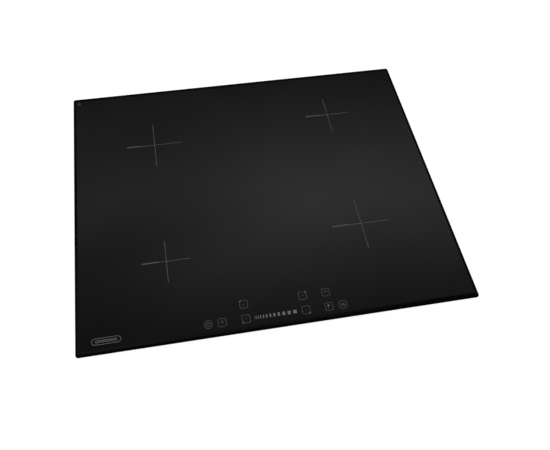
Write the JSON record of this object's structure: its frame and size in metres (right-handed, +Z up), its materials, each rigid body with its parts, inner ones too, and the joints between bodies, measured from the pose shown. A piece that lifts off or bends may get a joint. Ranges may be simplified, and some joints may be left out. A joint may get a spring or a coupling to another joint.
{
  "type": "induction hob",
  "caption": "Built-in induction hob: bevelled black glass with ring-less cross-marked cooking zones and front touch controls over a steel tray with coils, blowers and worktop clamps.",
  "frame": {"origin": "middle of the underside, at the height of the tray's floor", "axes": "+X to the cook's right, +Y away from the cook, +Z up"},
  "size_m": [0.6, 0.51, 0.058],
  "materials": {
    "glass": "black glass ceramic, polished, with a ground bevel",
    "enamel": "grey fired enamel print, flush with the glass",
    "bond": "black silicone",
    "foam": "closed-cell foam, matte",
    "frame_steel": "black enamelled sheet steel",
    "tray_steel": "zinc-coated sheet steel, spangled",
    "screw_steel": "bright zinc-plated",
    "insulation": "pale insulating sheet",
    "plate": "mill-finish sheet",
    "spring_steel": "drawn spring wire",
    "coil_former": "mica-filled moulding",
    "litz": "enamelled copper litz",
    "ferrite": "sintered ferrite, matte",
    "mica": "pressed mica",
    "sensor": "white ceramic",
    "circuit_board": "green solder mask",
    "spacer": "white nylon",
    "heatsink": "extruded, plain",
    "package": "black epoxy",
    "capacitor": "yellow film capacitor case",
    "component": "mixed board components",
    "blower": "black moulding",
    "impeller": "black moulding",
    "motor": "grey motor cup",
    "carrier": "pale grey moulding",
    "touch_foam": "conductive foam",
    "display": "dark display window",
    "ribbon": "grey ribbon cable",
    "terminal_plastic": "dark grey moulding",
    "terminal_block": "off-white moulding",
    "brass": "bright brass",
    "gland": "black nylon",
    "clamp_steel": "zinc-plated strip",
    "lead": "silicone insulated lead",
    "mains_lead": "insulated mains wire",
    "fan_lead": "thin insulated wire"
  },
  "bodies": {
    "hob": {"glass_top": "glass", "glass_adhesive": "bond", "foam_seal": "foam", "support_frame": "frame_steel", "frame_screws": "screw_steel", "base_tray": "tray_steel", "coil_plate": "plate", "plate_springs": "spring_steel", "plate_screws": "screw_steel", "ferrite_bars": "ferrite", "mica_discs": "mica", "temperature_sensors": "sensor", "insulation_sheet": "insulation", "power_board_left": "circuit_board", "power_board_right": "circuit_board", "heatsink_left": "heatsink", "heatsink_right": "heatsink", "board_standoffs": "spacer", "power_transistors": "package", "film_capacitors": "capacitor", "board_components": "component", "blower_housing_left": "blower", "blower_housing_right": "blower", "blower_motors": "motor", "control_carrier": "carrier", "control_board": "circuit_board", "touch_foams": "touch_foam", "displays": "display", "control_ribbon": "ribbon", "terminal_housing": "terminal_plastic", "terminal_block": "terminal_block", "terminal_screws": "brass", "cable_gland": "gland", "cable_clamp": "terminal_block", "filter_board": "circuit_board", "filter_components": "component", "clamp_pivots": "screw_steel", "coil_leads": "lead", "mains_wires": "mains_lead", "fan_wires": "fan_lead", "coil_former_rear_left": "coil_former", "coil_winding_rear_left": "litz", "coil_former_front_left": "coil_former", "coil_winding_front_left": "litz", "coil_former_rear_right": "coil_former", "coil_winding_rear_right": "litz", "coil_former_front_right": "coil_former", "coil_winding_front_right": "litz"},
    "blower_wheel_left": {"blower_impeller_left": "impeller"},
    "blower_wheel_right": {"blower_impeller_right": "impeller"},
    "terminal_flap": {"terminal_cover": "terminal_plastic"},
    "clamp_front_left": {"clamp_bracket_front_left": "clamp_steel"},
    "jack_front_left": {"clamp_screw_front_left": "screw_steel"},
    "clamp_front_right": {"clamp_bracket_front_right": "clamp_steel"},
    "jack_front_right": {"clamp_screw_front_right": "screw_steel"},
    "clamp_rear_left": {"clamp_bracket_rear_left": "clamp_steel"},
    "jack_rear_left": {"clamp_screw_rear_left": "screw_steel"},
    "clamp_rear_right": {"clamp_bracket_rear_right": "clamp_steel"},
    "jack_rear_right": {"clamp_screw_rear_right": "screw_steel"}
  },
  "joints": [
    {"name": "blower_left_spin", "type": "hinge", "parent": "hob", "child": "blower_wheel_left", "pos_m": [-0.135, 0.122, 0.009], "axis": [0, 0, 1], "continuous": true},
    {"name": "blower_right_spin", "type": "hinge", "parent": "hob", "child": "blower_wheel_right", "pos_m": [0.135, 0.122, 0.009], "axis": [0, 0, 1], "continuous": true},
    {"name": "terminal_cover_hinge", "type": "hinge", "parent": "hob", "child": "terminal_flap", "pos_m": [0.18, 0.1835, 0.004], "axis": [-1, 0, 0], "range_deg": [0, 100]},
    {"name": "clamp_front_left_swing", "type": "hinge", "parent": "hob", "child": "clamp_front_left", "pos_m": [-0.264, -0.17, 0.0247], "axis": [0, 0, 1], "range_deg": [0, 90]},
    {"name": "clamp_front_left_screw", "type": "slide", "parent": "clamp_front_left", "child": "jack_front_left", "axis": [0, 0, 1], "range_m": [0, 0.0075]},
    {"name": "clamp_front_right_swing", "type": "hinge", "parent": "hob", "child": "clamp_front_right", "pos_m": [0.264, -0.17, 0.0247], "axis": [0, 0, -1], "range_deg": [0, 90]},
    {"name": "clamp_front_right_screw", "type": "slide", "parent": "clamp_front_right", "child": "jack_front_right", "axis": [0, 0, 1], "range_m": [0, 0.0075]},
    {"name": "clamp_rear_left_swing", "type": "hinge", "parent": "hob", "child": "clamp_rear_left", "pos_m": [-0.264, 0.17, 0.0247], "axis": [0, 0, -1], "range_deg": [0, 90]},
    {"name": "clamp_rear_left_screw", "type": "slide", "parent": "clamp_rear_left", "child": "jack_rear_left", "axis": [0, 0, 1], "range_m": [0, 0.0075]},
    {"name": "clamp_rear_right_swing", "type": "hinge", "parent": "hob", "child": "clamp_rear_right", "pos_m": [0.264, 0.17, 0.0247], "axis": [0, 0, 1], "range_deg": [0, 90]},
    {"name": "clamp_rear_right_screw", "type": "slide", "parent": "clamp_rear_right", "child": "jack_rear_right", "axis": [0, 0, 1], "range_m": [0, 0.0075]}
  ]
}
